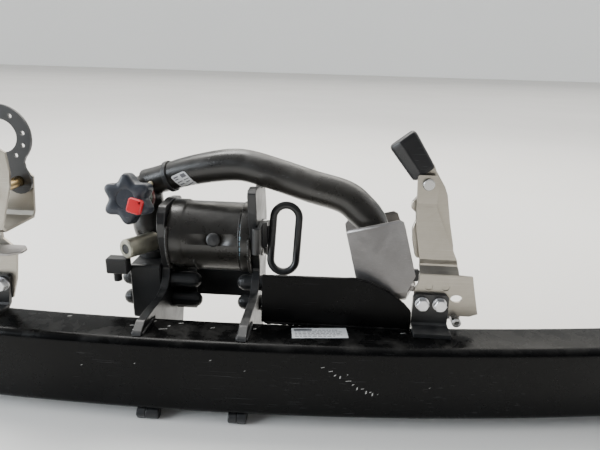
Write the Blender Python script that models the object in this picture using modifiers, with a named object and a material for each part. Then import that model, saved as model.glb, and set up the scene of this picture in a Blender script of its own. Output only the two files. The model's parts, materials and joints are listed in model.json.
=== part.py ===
"""Tow-bar kit: a bowed steel cross-beam with two shaped side plates, a detachable
swan neck stowed along the beam, its receiver, the ball pocket, the release lever
and a folding socket ring. Lengths below are millimetres, the scene is in metres.
X runs along the beam, Y points to the rear of the stowed mechanism, Z is up."""

import math

import bmesh
import bpy
from mathutils import Matrix, Vector

for old in list(bpy.data.objects):
    bpy.data.objects.remove(old, do_unlink=True)

# ---------------------------------------------------------------- dimensions
MM = 0.001
GAP = 0.3                 # clearance between touching pieces
BEAM_HALF = 540.0         # half length of the cross-beam
BEAM_D, BEAM_H = 54.0, 90.0
BEAM_R, BEAM_WALL = 9.0, 4.0
BOW = 1.47e-4             # beam axis: y = BOW * x^2
PLATE_X = 56.8            # side plate centre distance from the middle
PLATE_T = 10.0
HOUSING_Y, HOUSING_Z, HOUSING_R = 148.4, 158.5, 44.0
TILT = math.radians(13.0)   # lean of the stowed mechanism
YAW = math.radians(10.0)    # run-in of the neck toward the beam
PLUG_X, PLUG_Y, PLUG_Z = -83.0, 151.0, 128.0
PLUG_ROLL = math.radians(9.0)  # plug leans toward the left end
BALL = (203.0, 104.6, 162.3)
BALL_R = 25.0
POCKET_ROLL = math.radians(17.0)
LEVER_X, LEVER_Z = 246.8, 256.0
RING_X, RING_Y, RING_Z = -192.0, 60.0, 243.0
CLAMP_Y, CLAMP_Z = 124.0, (105.0, 77.0)
# places the bottom centre of the assembled box at the origin
SHIFT = Vector((0.0, -96.98, 13.2))

# ---------------------------------------------------------------- collections
helpers = bpy.data.collections.new("cutters")
bpy.context.scene.collection.children.link(helpers)
helpers.hide_render = True
MATS = {}


def material(name, rgb, metallic, rough):
    mat = bpy.data.materials.new(name)
    mat.use_nodes = True
    bsdf = mat.node_tree.nodes["Principled BSDF"]
    bsdf.inputs["Base Color"].default_value = (*rgb, 1.0)
    bsdf.inputs["Metallic"].default_value = metallic
    bsdf.inputs["Roughness"].default_value = rough
    mat.diffuse_color = (*rgb, 1.0)
    MATS[name] = mat
    return mat


PALETTE = {
    "black_paint": ((0.025, 0.026, 0.028), 0.0, 0.38),
    "dark_steel": ((0.07, 0.072, 0.075), 0.3, 0.45),
    "zinc": ((0.66, 0.67, 0.68), 0.9, 0.35),
    "yellow_zinc": ((0.62, 0.56, 0.42), 0.85, 0.4),
    "chrome": ((0.8, 0.8, 0.8), 1.0, 0.15),
    "olive": ((0.36, 0.35, 0.29), 0.3, 0.45),
    "blue_grey": ((0.07, 0.08, 0.1), 0.0, 0.45),
    "red": ((0.7, 0.04, 0.05), 0.0, 0.4),
    "green": ((0.05, 0.35, 0.12), 0.0, 0.45),
    "black_plastic": ((0.02, 0.02, 0.022), 0.0, 0.5),
    "brass": ((0.72, 0.55, 0.28), 1.0, 0.3),
    "cream": ((0.85, 0.78, 0.6), 0.0, 0.4),
    "label": ((0.72, 0.73, 0.74), 0.2, 0.4),
    "rubber": ((0.02, 0.02, 0.02), 0.0, 0.8),
    "bright_steel": ((0.6, 0.6, 0.6), 1.0, 0.25),
}
for key, (rgb, metallic, rough) in PALETTE.items():
    material(key, rgb, metallic, rough)
SOLIDS = []


def finish(bm, name, mat, matrix=None, smooth=True, cutter=False):
    """Turns a bmesh in millimetres into an object in metres."""
    bmesh.ops.remove_doubles(bm, verts=bm.verts, dist=1e-4)
    if matrix is not None:
        bmesh.ops.transform(bm, matrix=matrix, verts=bm.verts)
    bmesh.ops.transform(bm, matrix=Matrix.Translation(SHIFT), verts=bm.verts)
    bmesh.ops.transform(bm, matrix=Matrix.Scale(MM, 4), verts=bm.verts)
    bmesh.ops.recalc_face_normals(bm, faces=bm.faces)
    if bm.calc_volume(signed=True) < 0:
        bmesh.ops.reverse_faces(bm, faces=bm.faces)
    mesh = bpy.data.meshes.new(name)
    bm.to_mesh(mesh)
    bm.free()
    if smooth:
        for poly in mesh.polygons:
            poly.use_smooth = True
        try:
            mesh.set_sharp_from_angle(angle=math.radians(35))
        except AttributeError:
            pass
    obj = bpy.data.objects.new(name, mesh)
    if cutter:
        helpers.objects.link(obj)
        obj.hide_render = True
        obj.display_type = "WIRE"
    else:
        bpy.context.scene.collection.objects.link(obj)
        mesh.materials.append(MATS[mat])
        SOLIDS.append(obj)
    return obj


def frame(origin, axis, ref=(1, 0, 0)):
    """A matrix whose local Z is `axis` and whose local X leans toward `ref`."""
    z = Vector(axis).normalized()
    x = Vector(ref) - Vector(ref).dot(z) * z
    if x.length < 1e-3:
        x = Vector((0, 1, 0)) - Vector((0, 1, 0)).dot(z) * z
    x.normalize()
    y = z.cross(x)
    rot = Matrix((x, y, z)).transposed().to_4x4()
    return Matrix.Translation(Vector(origin)) @ rot


def ring_mesh(stack, seg, closed=False):
    """Rings of points about Z. Each station is (z, radius or function of angle)."""
    bm = bmesh.new()
    loops = []
    for z, radius in stack:
        if not callable(radius) and radius <= 0:
            loops.append([bm.verts.new((0, 0, z))])
            continue
        row = []
        for i in range(seg):
            a = 2 * math.pi * i / seg
            r = radius(a) if callable(radius) else radius
            row.append(bm.verts.new((r * math.cos(a), r * math.sin(a), z)))
        loops.append(row)
    pairs = list(zip(loops, loops[1:]))
    if closed:
        pairs.append((loops[-1], loops[0]))
    for one, two in pairs:
        for i in range(seg):
            j = (i + 1) % seg
            if len(one) == 1 and len(two) == 1:
                continue
            if len(one) == 1:
                bm.faces.new((one[0], two[i], two[j]))
            elif len(two) == 1:
                bm.faces.new((one[i], one[j], two[0]))
            else:
                bm.faces.new((one[i], one[j], two[j], two[i]))
    if not closed:
        for row in (loops[0], loops[-1]):
            if len(row) > 1:
                bm.faces.new(row)
    return bm


def turned(name, stack, mat, matrix, seg=40, closed=False, cutter=False):
    return finish(ring_mesh(stack, seg, closed), name, mat, matrix, cutter=cutter)


def rod(name, a, b, r, mat, seg=32, chamfer=0.6, cutter=False):
    a, b = Vector(a), Vector(b)
    length = (b - a).length
    c = min(chamfer, r * 0.4)
    stack = [(0, r - c), (c, r), (length - c, r), (length, r - c)]
    if cutter:
        stack = [(0, r), (length, r)]
    return turned(name, stack, mat, frame(a, b - a), seg, cutter=cutter)


def tube(name, a, b, ro, ri, mat, seg=28, chamfer=0.5):
    a, b = Vector(a), Vector(b)
    n, c = (b - a).length, chamfer
    stack = [(0, ri), (0, ro - c), (c, ro), (n - c, ro), (n, ro - c), (n, ri)]
    return turned(name, stack, mat, frame(a, b - a), seg, closed=True)


def hexagon(af, turn=0.0):
    def radius(a):
        b = (a + turn) % (math.pi / 3) - math.pi / 6
        return af / 2 / math.cos(b)
    return radius


def bolt(name, at, axis, af, head, shank_r, shank, mat, washer=0.0, seg=36):
    """Hex bolt: `at` is the seat under the head, `axis` points out of the head."""
    h = hexagon(af)
    w = washer
    stack = [(-shank, shank_r - 0.6), (-shank + 0.6, shank_r), (0, shank_r)]
    if w:
        stack += [(0, af * 0.62), (w, af * 0.62)]
    stack += [(w, h), (w + head - 0.8, h), (w + head, lambda a: min(h(a), af * 0.5) - 0.4)]
    return turned(name, stack, mat, frame(at, axis), seg)


def through_bolt(name, at, axis, af, head, shank_r, grip, mat, washer=1.4, seg=24):
    """Hex bolt and its nut as one fastener: `grip` is the clamped length."""
    h = hexagon(af)
    low = lambda a: min(h(a), af * 0.5) - 0.4
    stack = [(-grip - head - 2, shank_r - 0.3), (-grip - head, shank_r - 0.3), (-grip - head, h), (-grip, h),
             (-grip, shank_r), (0, shank_r), (0, af * 0.62), (washer, af * 0.62), (washer, h), (washer + head - 0.8, h),
             (washer + head, low)]
    return turned(name, stack, mat, frame(at, axis), seg)


def dome(r, height, steps=6):
    out = []
    for i in range(steps + 1):
        a = math.pi / 2 * i / steps
        out.append((height * math.sin(a), r * math.cos(a) if i < steps else 0.0))
    return out


def prism(name, outline, thick, mat, matrix, bevel=0.0, cutter=False, cuts=(), smooth=False):
    """A flat plate: outline in the local XY plane, thickness along local Z."""
    bm = bmesh.new()
    low = [bm.verts.new((x, y, 0)) for x, y in outline]
    top = [bm.verts.new((x, y, thick)) for x, y in outline]
    bm.faces.new(low[::-1])
    bm.faces.new(top)
    n = len(low)
    for i in range(n):
        j = (i + 1) % n
        bm.faces.new((low[i], low[j], top[j], top[i]))
    obj = finish(bm, name, mat, matrix, smooth=smooth, cutter=cutter)
    if bevel:
        add_bevel(obj, bevel)
    for cut in cuts:
        subtract(obj, cut)
    return obj


def add_bevel(obj, width, segments=1):
    mod = obj.modifiers.new("Bevel", "BEVEL")
    mod.width = width * MM
    mod.segments = segments
    mod.limit_method = "ANGLE"
    mod.angle_limit = math.radians(50)
    mod.harden_normals = False
    return mod


def subtract(obj, cutter):
    mod = obj.modifiers.new("Cut", "BOOLEAN")
    mod.operation = "DIFFERENCE"
    mod.solver = "EXACT"
    mod.object = cutter


def unite(obj, other):
    """Joins a helper to the object."""
    mod = obj.modifiers.new("Join", "BOOLEAN")
    mod.operation = "UNION"
    mod.solver = "EXACT"
    mod.object = other


def box(name, lo, hi, mat, bevel=0.0, matrix=None, cutter=False, cuts=()):
    outline = [(lo[0], lo[1]), (hi[0], lo[1]), (hi[0], hi[1]), (lo[0], hi[1])]
    base = Matrix.Translation((0, 0, lo[2]))
    full = (matrix @ base) if matrix is not None else base
    return prism(name, outline, hi[2] - lo[2], mat, full, bevel, cutter, cuts)


def rounded(points, radius, steps=5):
    """Rounds the corners of a closed outline. `radius` is one value or one per point."""
    out = []
    n = len(points)
    radii = radius if isinstance(radius, (list, tuple)) else [radius] * n
    for i in range(n):
        p, a, b = Vector(points[i]), Vector(points[i - 1]), Vector(points[(i + 1) % n])
        r = radii[i]
        u, v = (a - p), (b - p)
        if r <= 0 or u.length < 1e-6 or v.length < 1e-6:
            out.append(tuple(p))
            continue
        ang = u.angle(v)
        cut = min(r / math.tan(ang / 2), u.length * 0.48, v.length * 0.48)
        rr = cut * math.tan(ang / 2)
        u.normalize()
        v.normalize()
        centre = p + (u + v).normalized() * (rr / math.sin(ang / 2))
        s, e = p + u * cut - centre, p + v * cut - centre
        a0, a1 = math.atan2(s.y, s.x), math.atan2(e.y, e.x)
        d = (a1 - a0 + math.pi) % (2 * math.pi) - math.pi
        for k in range(steps + 1):
            t = a0 + d * k / steps
            out.append((centre.x + rr * math.cos(t), centre.y + rr * math.sin(t)))
    return out


def smooth_path(points, steps):
    """Catmull-Rom through points that may carry extra values such as a radius."""
    pts = [points[0]] + list(points) + [points[-1]]
    out = []
    for i in range(1, len(pts) - 2):
        p0, p1, p2, p3 = pts[i - 1], pts[i], pts[i + 1], pts[i + 2]
        for k in range(steps):
            t = k / steps
            out.append(tuple(
                0.5 * (2 * b + (c - a) * t + (2 * a - 5 * b + 4 * c - d) * t * t
                       + (3 * b - a - 3 * c + d) * t ** 3)
                for a, b, c, d in zip(p0, p1, p2, p3)))
    out.append(tuple(points[-1]))
    return out


def sweep(name, path, mat, seg=32, cutter=False, closed=False, squash=1.0):
    """A round bar along path, each station (x, y, z, radius)."""
    pts = [Vector(p[:3]) for p in path]
    rad = [p[3] for p in path]
    n = len(pts)
    tangents = []
    for i in range(n):
        a = pts[(i - 1) % n] if (closed or i > 0) else pts[i]
        b = pts[(i + 1) % n] if (closed or i < n - 1) else pts[i]
        tangents.append((b - a).normalized())
    up = Vector((0, 0, 1))
    if abs(tangents[0].dot(up)) > 0.9:
        up = Vector((0, 1, 0))
    normal = (up - up.dot(tangents[0]) * tangents[0]).normalized()
    bm = bmesh.new()
    loops = []
    for i in range(n):
        t = tangents[i]
        normal = (normal - normal.dot(t) * t).normalized()
        side = t.cross(normal)
        row = []
        for k in range(seg):
            a = 2 * math.pi * k / seg
            row.append(bm.verts.new(pts[i] + rad[i] * (math.cos(a) * normal * squash + math.sin(a) * side)))
        loops.append(row)
    pairs = list(zip(loops, loops[1:]))
    if closed:
        pairs.append((loops[-1], loops[0]))
    for one, two in pairs:
        for k in range(seg):
            m = (k + 1) % seg
            bm.faces.new((one[k], one[m], two[m], two[k]))
    if not closed:
        bm.faces.new(loops[0][::-1])
        bm.faces.new(loops[-1])
    return finish(bm, name, mat, None, cutter=cutter)


def strip(name, stations, thick, mat, matrix=None, cuts=(), bevel=0.0):
    """Bent sheet across local X: stations (y, z, x_left, x_right) on its mid line."""
    n = len(stations)
    mids = [Vector((s[0], s[1])) for s in stations]
    offs = []
    for i in range(n):
        d0 = (mids[i] - mids[i - 1]).normalized() if i else None
        d1 = (mids[i + 1] - mids[i]).normalized() if i < n - 1 else None
        d0, d1 = d0 or d1, d1 or d0
        n0, n1 = Vector((-d0.y, d0.x)), Vector((-d1.y, d1.x))
        m = (n0 + n1).normalized()
        offs.append(m * (thick / 2 / max(0.35, m.dot(n0))))
    bm = bmesh.new()
    rows = []
    for i, (y, z, xl, xr) in enumerate(stations):
        o = offs[i]
        rows.append([bm.verts.new((xl, y - o.x, z - o.y)), bm.verts.new((xr, y - o.x, z - o.y)),
                     bm.verts.new((xr, y + o.x, z + o.y)), bm.verts.new((xl, y + o.x, z + o.y))])
    for one, two in zip(rows, rows[1:]):
        for k in range(4):
            m = (k + 1) % 4
            bm.faces.new((one[k], one[m], two[m], two[k]))
    bm.faces.new(rows[0][::-1])
    bm.faces.new(rows[-1])
    obj = finish(bm, name, mat, matrix, smooth=False)
    if bevel:
        add_bevel(obj, bevel, 1)
    for cut in cuts:
        subtract(obj, cut)
    return obj


def hole(name, a, b, r, seg=18):
    return rod(name, a, b, r, None, seg, cutter=True)


def bow(x):
    return BOW * x * x


# frames used by the stowed mechanism
ST, CT = math.sin(TILT), math.cos(TILT)
SY, CY = math.sin(YAW), math.cos(YAW)
PLUG_AXIS = Vector((-math.sin(PLUG_ROLL), math.cos(PLUG_ROLL) * ST, math.cos(PLUG_ROLL) * CT))
WHEEL_YAW = math.radians(4.0)
OUT = Vector((-math.sin(WHEEL_YAW), -math.cos(WHEEL_YAW) * CT, math.cos(WHEEL_YAW) * ST))
OUT = (OUT - OUT.dot(PLUG_AXIS) * PLUG_AXIS).normalized()   # handwheel axis, toward the front
SIDE = PLUG_AXIS.cross(OUT)                # along the handwheel face, to the right
PLUG = Vector((PLUG_X, PLUG_Y, PLUG_Z))


def on_plug(t, out=0.0, side=0.0):
    return PLUG + PLUG_AXIS * t + OUT * out + SIDE * side


# ---------------------------------------------------------------- cross-beam
def beam():
    bm = bmesh.new()
    outer = rounded([(0, 0), (BEAM_D, 0), (BEAM_D, BEAM_H), (0, BEAM_H)], BEAM_R, 3)
    w = BEAM_WALL
    inner = rounded([(w, w), (BEAM_D - w, w), (BEAM_D - w, BEAM_H - w), (w, BEAM_H - w)], BEAM_R - w, 3)
    count = 26
    rows = []
    for i in range(count + 1):
        x = -BEAM_HALF + 2 * BEAM_HALF * i / count
        o = [bm.verts.new((x, y + bow(x), z)) for y, z in outer]
        k = [bm.verts.new((x, y + bow(x), z)) for y, z in inner]
        rows.append((o, k))
    n = len(outer)
    for (o1, k1), (o2, k2) in zip(rows, rows[1:]):
        for i in range(n):
            j = (i + 1) % n
            bm.faces.new((o1[i], o1[j], o2[j], o2[i]))
            bm.faces.new((k1[j], k1[i], k2[i], k2[j]))
    for o, k in (rows[0], rows[-1]):
        for i in range(n):
            j = (i + 1) % n
            bm.faces.new((o[i], o[j], k[j], k[i]))
    return finish(bm, "crossbeam", "black_paint")


beam()

for side, sx in (("left", -1), ("right", 1)):
    # end flange for the car's chassis member, with four bolt holes
    x0 = sx * (BEAM_HALF + GAP)
    yc = bow(BEAM_HALF) + BEAM_D / 2
    face = frame((x0, yc, BEAM_H / 2), (sx, 0, 0), (0, 1, 0))
    cuts = []
    for k, (u, v) in enumerate(((-46, -36), (46, -36), (-46, 36), (46, 36))):
        at = face @ Vector((u, v, -5))
        cuts.append(hole(f"cut_flange_{side}_{k}", at, face @ Vector((u, v, 20)), 6.5))
    prism(f"end_flange_{side}", rounded([(-62, -52), (62, -52), (62, 52), (-62, 52)], 12, 2),
          8.0, "black_paint", face, 0.8, cuts=cuts)

# ---------------------------------------------------------------- side plates
NOTCH = BEAM_D + bow(62) + GAP
LOW = [(NOTCH, BEAM_H + GAP), (NOTCH, -GAP), (5.0, -GAP)]
TAIL = [(0.5, -6.0), (4.0, -13.2), (60, -13.2), (138, -13.2), (150, -4), (170, 50), (186, 90), (191, 120)]
FRONT = [(8.0, BEAM_H + GAP), (11, 94), (24, 100.5), (58, 99.5), (86, 97), (104, 101), (114, 112),
         (117, 122), (115, 137), (110, 152), (106, 168), (105.5, 184)]
LEFT_TOP = [(109, 196), (118, 204.5), (150, 206), (180, 201), (192, 180)]
RIGHT_FRONT = [(8.0, BEAM_H + GAP), (11, 94), (24, 100.5), (58, 99.5), (86, 97), (104, 101), (116, 112),
               (122, 124), (119, 140), (108, 160), (98, 184), (90, 208), (84, 230)]
RIGHT_TOP = [(86, 236), (104, 236), (122, 232), (131, 229), (138, 226.5), (146, 224.8), (156, 224.8),
             (164, 229), (171, 226), (181, 206), (192, 180)]


def side_plate(name, x, front, top):
    outline = front + top + [(194, 150)] + TAIL[::-1] + LOW[::-1]
    pts = [Vector(p) for p in outline]
    radii = [2 if p[1] < 92 and p[0] < 60 else 6 for p in outline]
    radii[0] = 0
    radii[-3:] = [1.0, 3.0, 0.0]
    line = rounded([tuple(p) for p in pts], radii, 1)
    mat4 = frame((x - PLATE_T / 2, 0, 0), (1, 0, 0), (0, 1, 0))
    bolt_cuts = []
    for k, z in enumerate(CLAMP_Z):
        bolt_cuts.append(hole(f"cut_{name}_{k}", (x - 12, CLAMP_Y, z), (x + 12, CLAMP_Y, z), 6.3))
    bolt_cuts.append(hole(f"cut_{name}_bore", (x - 12, HOUSING_Y, HOUSING_Z),
                          (x + 12, HOUSING_Y, HOUSING_Z), 17.0, 40))
    return prism(name, line, PLATE_T, "black_paint", mat4, 0.7, cuts=bolt_cuts)


side_plate("side_plate_left", -PLATE_X, FRONT, LEFT_TOP)
side_plate("side_plate_right", PLATE_X, RIGHT_FRONT, RIGHT_TOP)

# welded lugs that the assembly stands on
for side, sx in (("left", -1), ("right", 1)):
    lo = PLATE_X - PLATE_T / 2
    n = 14.7 if side == "left" else 9.9
    xa = -lo + GAP if side == "left" else lo - GAP - n
    turned(f"foot_lug_{side}", [(0, 5.6), (1.0, 6.4), (n - 1.0, 6.4), (n, 5.6)], "black_paint",
           frame((xa, 7.4, -GAP - 6.5), (1, 0, 0), (0, 1, 0)), 24)

# crosspiece under the housing
box("crosspiece", (-51.4, 146, 73.5), (51.4, 155, 110), "dark_steel", 1.0)

# ---------------------------------------------------------------- housing
H = Vector((0, HOUSING_Y, HOUSING_Z))
L0 = -PLATE_X + PLATE_T / 2 + GAP
R0 = PLATE_X - PLATE_T / 2 - GAP
PORT_AT, PORT_DIR = H + Vector((7, 0, 0)), Vector((0, -math.cos(math.radians(12)), math.sin(math.radians(12))))
port = hole("cut_port", PORT_AT + PORT_DIR * 60, PORT_AT + PORT_DIR * 8, 7.0)
FL = PLATE_X - PLATE_T / 2 - GAP
housing = turned("swivel_housing", [(0, 17.4), (0, HOUSING_R + 0.5), (1.5, HOUSING_R + 1.5), (FL - 34.5, HOUSING_R + 1.5), (FL - 33, HOUSING_R + 1),
                                    (FL - 31, HOUSING_R), (FL + 38, HOUSING_R), (FL + 39.5, HOUSING_R + 1.5), (2 * FL - 1.5, HOUSING_R + 1.5),
                                    (2 * FL, HOUSING_R + 1), (2 * FL, 17.4)], "black_paint",
                 frame((-FL, HOUSING_Y, HOUSING_Z), (1, 0, 0), (0, 1, 0)), 40, closed=True)
subtract(housing, port)
turned("housing_plug", [(0, 4), (1, 6.6), (23.6, 6.6), (23.6, 8.8), (24.8, 8.3), (26.0, 6.2), (26.5, 0)],
       "dark_steel", frame(PORT_AT + PORT_DIR * 20.9, PORT_DIR), 28)
# shaft through the housing with its head on the left and its nut on the right
turned("housing_shaft", [(0, 17.6), (1, 18.6), (3, 18.6), (3, 16.4), (135, 16.4), (136, 15.4)],
       "dark_steel", frame((-PLATE_X - PLATE_T / 2 - GAP - 3, HOUSING_Y, HOUSING_Z), (1, 0, 0), (0, 1, 0)), 28)
XR = PLATE_X + PLATE_T / 2
tube("thrust_washer", (XR + GAP, HOUSING_Y, HOUSING_Z), (XR + GAP + 3.4, HOUSING_Y, HOUSING_Z), 24, 16.7, "bright_steel", 32)
tube("bearing_disc", (XR + 4.2, HOUSING_Y, HOUSING_Z), (XR + 9.0, HOUSING_Y, HOUSING_Z), 22.5, 16.7, "dark_steel", 32, 1.2)

# clamp bolts through the side plates
def clamp_bolt(name, x0, x1, z, r_dome, left_head, right_head, tall=10.0):
    """Bolt with a cylindrical head and a domed end at each side of the plates it clamps."""
    n = x1 - x0
    d = dome(r_dome, tall, 4)
    left = [(-left_head - h, r) for h, r in d][::-1]
    right = [(n + right_head + h, r) for h, r in d]
    return turned(name, left + [(0, r_dome), (0, 5.9), (n, 5.9), (n, r_dome)] + right, "dark_steel",
                  frame((x0, CLAMP_Y, z), (1, 0, 0), (0, 1, 0)), 16)


BLOCK_L, BLOCK_R = -101.0, -PLATE_X - PLATE_T / 2 - GAP
for k, z in zip(("upper", "lower"), CLAMP_Z):
    clamp_bolt(f"clamp_bolt_left_{k}", BLOCK_L - GAP, -PLATE_X + PLATE_T / 2 + GAP, z, 10.0, 4.5, 28.0)
    clamp_bolt(f"clamp_bolt_right_{k}", PLATE_X - PLATE_T / 2 - GAP, XR + GAP, z, 10.0, 9.0, 2.5)


# ---------------------------------------------------------------- receiver
cuts = [hole(f"cut_block_{k}", (BLOCK_L - 5, CLAMP_Y, z), (BLOCK_R + 5, CLAMP_Y, z), 6.3) for k, z in enumerate(CLAMP_Z)]
cuts.append(hole("cut_block_bore", on_plug(-90), on_plug(30), 13.0, 40))
block = prism("receiver_block", rounded([(0, 0), (60, 0), (60, 74), (0, 74)], 3, 2), BLOCK_R - BLOCK_L, "dark_steel",
              frame((BLOCK_L, 110, 54), (1, 0, 0), (0, 1, 0)), 1.5, cuts=cuts)
box("inner_block", (-PLATE_X + PLATE_T / 2 + GAP, 134.6, 58), (-24, 142.5, 112), "dark_steel", 1.0)
# collar and seal at the mouth of the receiver, seated on its flat top
collar = turned("receiver_collar", [(-8, 13.2), (-8, 19.8), (3.6, 19.8), (4.6, 18.8), (4.6, 13.2)], "rubber",
                frame(PLUG, PLUG_AXIS), 32, closed=True)
subtract(collar, box("cut_collar", (-140, 90, 100), (-30, 200, 128.0 + GAP), None, cutter=True))
# connector box on the side of the receiver
sensor = box("sensor_box", (-124, 94, 121), (-97.5, 109.5, 141), "black_plastic", 1.5)
nub = rod("nub_sensor", (-113, 102, 110), (-113, 102, 124), 5.0, None, 20, cutter=True)
unite(sensor, nub)

# ---------------------------------------------------------------- swan neck
turned("plug_shaft", [(-30, 9.5), (-27, 12.6), (20, 12.6), (21, 11.6)], "bright_steel", frame(PLUG, PLUG_AXIS), 40)
turned("plug_collar", [(5.2, 13.0), (5.2, 17.4), (6.2, 18.4), (12.6, 18.4), (13.6, 17.4), (13.6, 13.0)], "chrome",
       frame(PLUG, PLUG_AXIS), 32, closed=True)
ROOT_R = 21.5
root = turned("swan_neck", [(14.2, 13.0), (14.2, 15), (20, 17.5), (30, 20.5), (38, ROOT_R), (90, ROOT_R), (97, 20), (101, 16.5),
                            (103, 10), (103.5, 0), (21.6, 0), (21.6, 13.0)],
              "black_paint", frame(PLUG, PLUG_AXIS), 28, closed=True)
NECK = [(-96.0, 171.0, 219.0, 17.0), (-80, 169.4, 223.0, 17.6), (-66, 167.6, 227.6, 17.9), (-41, 164.6, 236.4, 18.5),
        (-14, 161.5, 243.4, 19.3), (19, 157.2, 249.6, 20), (45, 152.7, 249.6, 20), (83.3, 144.4, 241.4, 20),
        (120.7, 135.8, 232.1, 20), (163, 126.3, 222.8, 20), (183, 120.3, 209.3, 19.7), (193.6, 115.6, 199.8, 18.8),
        (199.3, 111.8, 194.2, 16.8), (200.6, 110.0, 189.6, 15.0), (200.87, 109.37, 186.8, 14.5)]
unite(root, sweep("join_neck", smooth_path(NECK, 2), None, 24, cutter=True))
subtract(root, hole("cut_spindle", on_plug(75, -12, 4), on_plug(75, 40, 4), 7.4, 20))
subtract(root, hole("cut_index_pin", on_plug(91, 10, 17), on_plug(91, 40, 17), 3.3, 20))
# small index pin beside the handwheel hub
turned("index_pin", [(0, 2.6), (0.4, 3.0), (10.4, 3.0), (11.2, 2.2)], "cream", frame(on_plug(91, 10.4, 17), OUT), 20)
ball_axis = Vector((200.87, 109.37, 186.34)) - Vector(BALL)
turned("tow_ball", [(BALL_R * math.sin(a), BALL_R * math.cos(a)) for a in
                    [math.radians(d) for d in (-62, -50, -38, -26, -14, 0, 14, 28, 42)]]
       + [(20.0, 14.0), (23.6, 13.6)], "dark_steel", frame(BALL, ball_axis), 28)
COLLAR_AT, COLLAR_DIR = Vector((-60, 167.0, 229.6)), Vector((25, -3.0, 8.8)).normalized()
tube("neck_collar", COLLAR_AT - COLLAR_DIR * 3, COLLAR_AT + COLLAR_DIR * 3, 20.3, 18.8, "dark_steel", 32, 0.5)

# detent unit on the foot of the neck, with a hexagon socket in its end
D0, D1 = Vector((-97.6, 95.4, 154.4)), Vector((-76.0, 133.0, 152.4))
detent = turned("detent_housing", [(0, 6.4), (0, 10.4), (1.6, 12.0), (44, 12.0), (44, 0), (6, 0), (6, 6.4)], "olive",
                frame(D0, D1 - D0), 28, closed=True)
subtract(detent, rod("cut_detent", on_plug(-20), on_plug(80), ROOT_R + 0.6, None, 48, cutter=True))
turned("detent_screw", [(0, 0), (0, 5.9), (5, 5.9), (5.4, 5.4), (5.4, hexagon(6.0)), (2.5, hexagon(6.0)), (2.5, 0)][::-1], "dark_steel",
       frame(D0 + (D1 - D0).normalized() * 0.4, D1 - D0), 24)

# handwheel: spindle slides in the neck, the wheel turns on it
WHEEL = (75, 0.0, 4)
turned("spindle", [(-8, 6.2), (-7, 7.0), (58.6, 7.0), (59.2, 6.4)], "bright_steel",
       frame(on_plug(75, 0, 4), OUT), 28)
tube("marker_red", on_plug(75, 22.0, 4), on_plug(75, 28.5, 4), 18.2, 7.4, "red", 28)
tube("marker_green", on_plug(75, 28.8, 4), on_plug(75, 35.6, 4), 17.6, 7.4, "green", 28)


T, W_ = 31.0, 23.0
PHASE = math.radians(24)


def star(tip, waist, lobes=6):
    def radius(a):
        w = 0.5 + 0.5 * math.cos(lobes * (a - PHASE))
        return waist + (tip - waist) * w ** 1.1
    return radius


wheel = turned("handwheel", [(36.0, 7.4), (36.0, 15.4), (36.6, 16.0), (46.5, 16.0), (46.6, star(T - 3.5, W_ - 4)), (49.5, star(T, W_)), (63.5, star(T, W_)),
                             (66.8, star(T - 2.6, W_ - 3)), (67.6, star(T - 7, W_ - 8)), (67.6, 0), (59.6, 0), (59.6, 7.4)],
               "blue_grey", frame(on_plug(75, 0, 4), OUT, SIDE), 60, closed=True)

# lock barrel in the wheel face, off centre, and its key cap
LOCK_SIDE, LOCK_T = 13.5, -9.5
lock_cut = hole("cut_lock", on_plug(75 + LOCK_T, 61, 4 + LOCK_SIDE), on_plug(75 + LOCK_T, 80, 4 + LOCK_SIDE), 6.4, 28)
subtract(wheel, lock_cut)
turned("lock_barrel", [(61.4, 5.2), (62, 6.0), (68.6, 6.0), (69.2, 5.4)], "zinc",
       frame(on_plug(75 + LOCK_T, 0, 4 + LOCK_SIDE), OUT), 28)
KEY_FRAME = frame(on_plug(75 + LOCK_T, 0, 4 + LOCK_SIDE), OUT, SIDE)
turn = Matrix.Rotation(math.radians(-23), 4, "Z")
key_hole = hole("cut_key", KEY_FRAME @ turn @ Vector((5.4, 5.4, 60)), KEY_FRAME @ turn @ Vector((5.4, 5.4, 90)), 1.5, 16)
prism("key_head", rounded([(-8.8, -8.8), (8.8, -8.8), (8.8, 8.8), (-8.8, 8.8)], 3.4, 4), 7.0, "red",
      KEY_FRAME @ turn @ Matrix.Translation((0, 0, 69.6)), 1.4, cuts=[key_hole])

# ---------------------------------------------------------------- ball pocket
E1 = Vector((CY, -SY, 0))
N_IN = Vector((SY * CT, CY * CT, -ST))      # away from the front
UP = Vector((ST * SY, ST * CY, CT))
c, s = math.cos(POCKET_ROLL), math.sin(POCKET_ROLL)
PX, PZ = E1 * c + UP * s, UP * c - E1 * s
POCKET = Matrix.Translation(Vector(BALL)) @ Matrix((PX, N_IN, PZ)).transposed().to_4x4()
strip("ball_pocket", [(-29.2, 33.8, -22, 36), (-29.6, 31, -26, 39.5), (-29.6, 22, -26, 40), (-29.6, -31, -26, 40), (-29.6, -46, -26, 28), (-26.5, -53, -26, 25), (-20, -56, -26, 24),
                      (20, -56, -28, 30), (26.5, -53, -30, 37), (29.6, -46, -32, 37), (29.6, 30, -34, 34.5), (29.0, 39, -33, 33.5), (28.8, 42.5, -29, 29)],
      3.0, "zinc", POCKET)
rod("pocket_stop", (243.0, 67.2, 134.0), (243.0, 78.0, 134.0), 3.4, "zinc", 20)
box("pocket_side_block", (240.5, 67.2, 143), (248.5, 73.5, 157), "black_plastic", 1.2)

# ---------------------------------------------------------------- gusset
GUSSET = [(72.5, BEAM_H + GAP), (241.8, BEAM_H + GAP), (241.8, 101), (240.5, 113.5), (233, 121.8), (215.2, 135.5),
          (192.4, 146.4), (174.7, 150.3), (164.9, 149.7), (73.3, 148.5)]
prism("gusset_plate", GUSSET[::-1], 5.0, "black_paint", frame((0, 56.5, 0), (0, -1, 0), (1, 0, 0)), 0.8)

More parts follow.
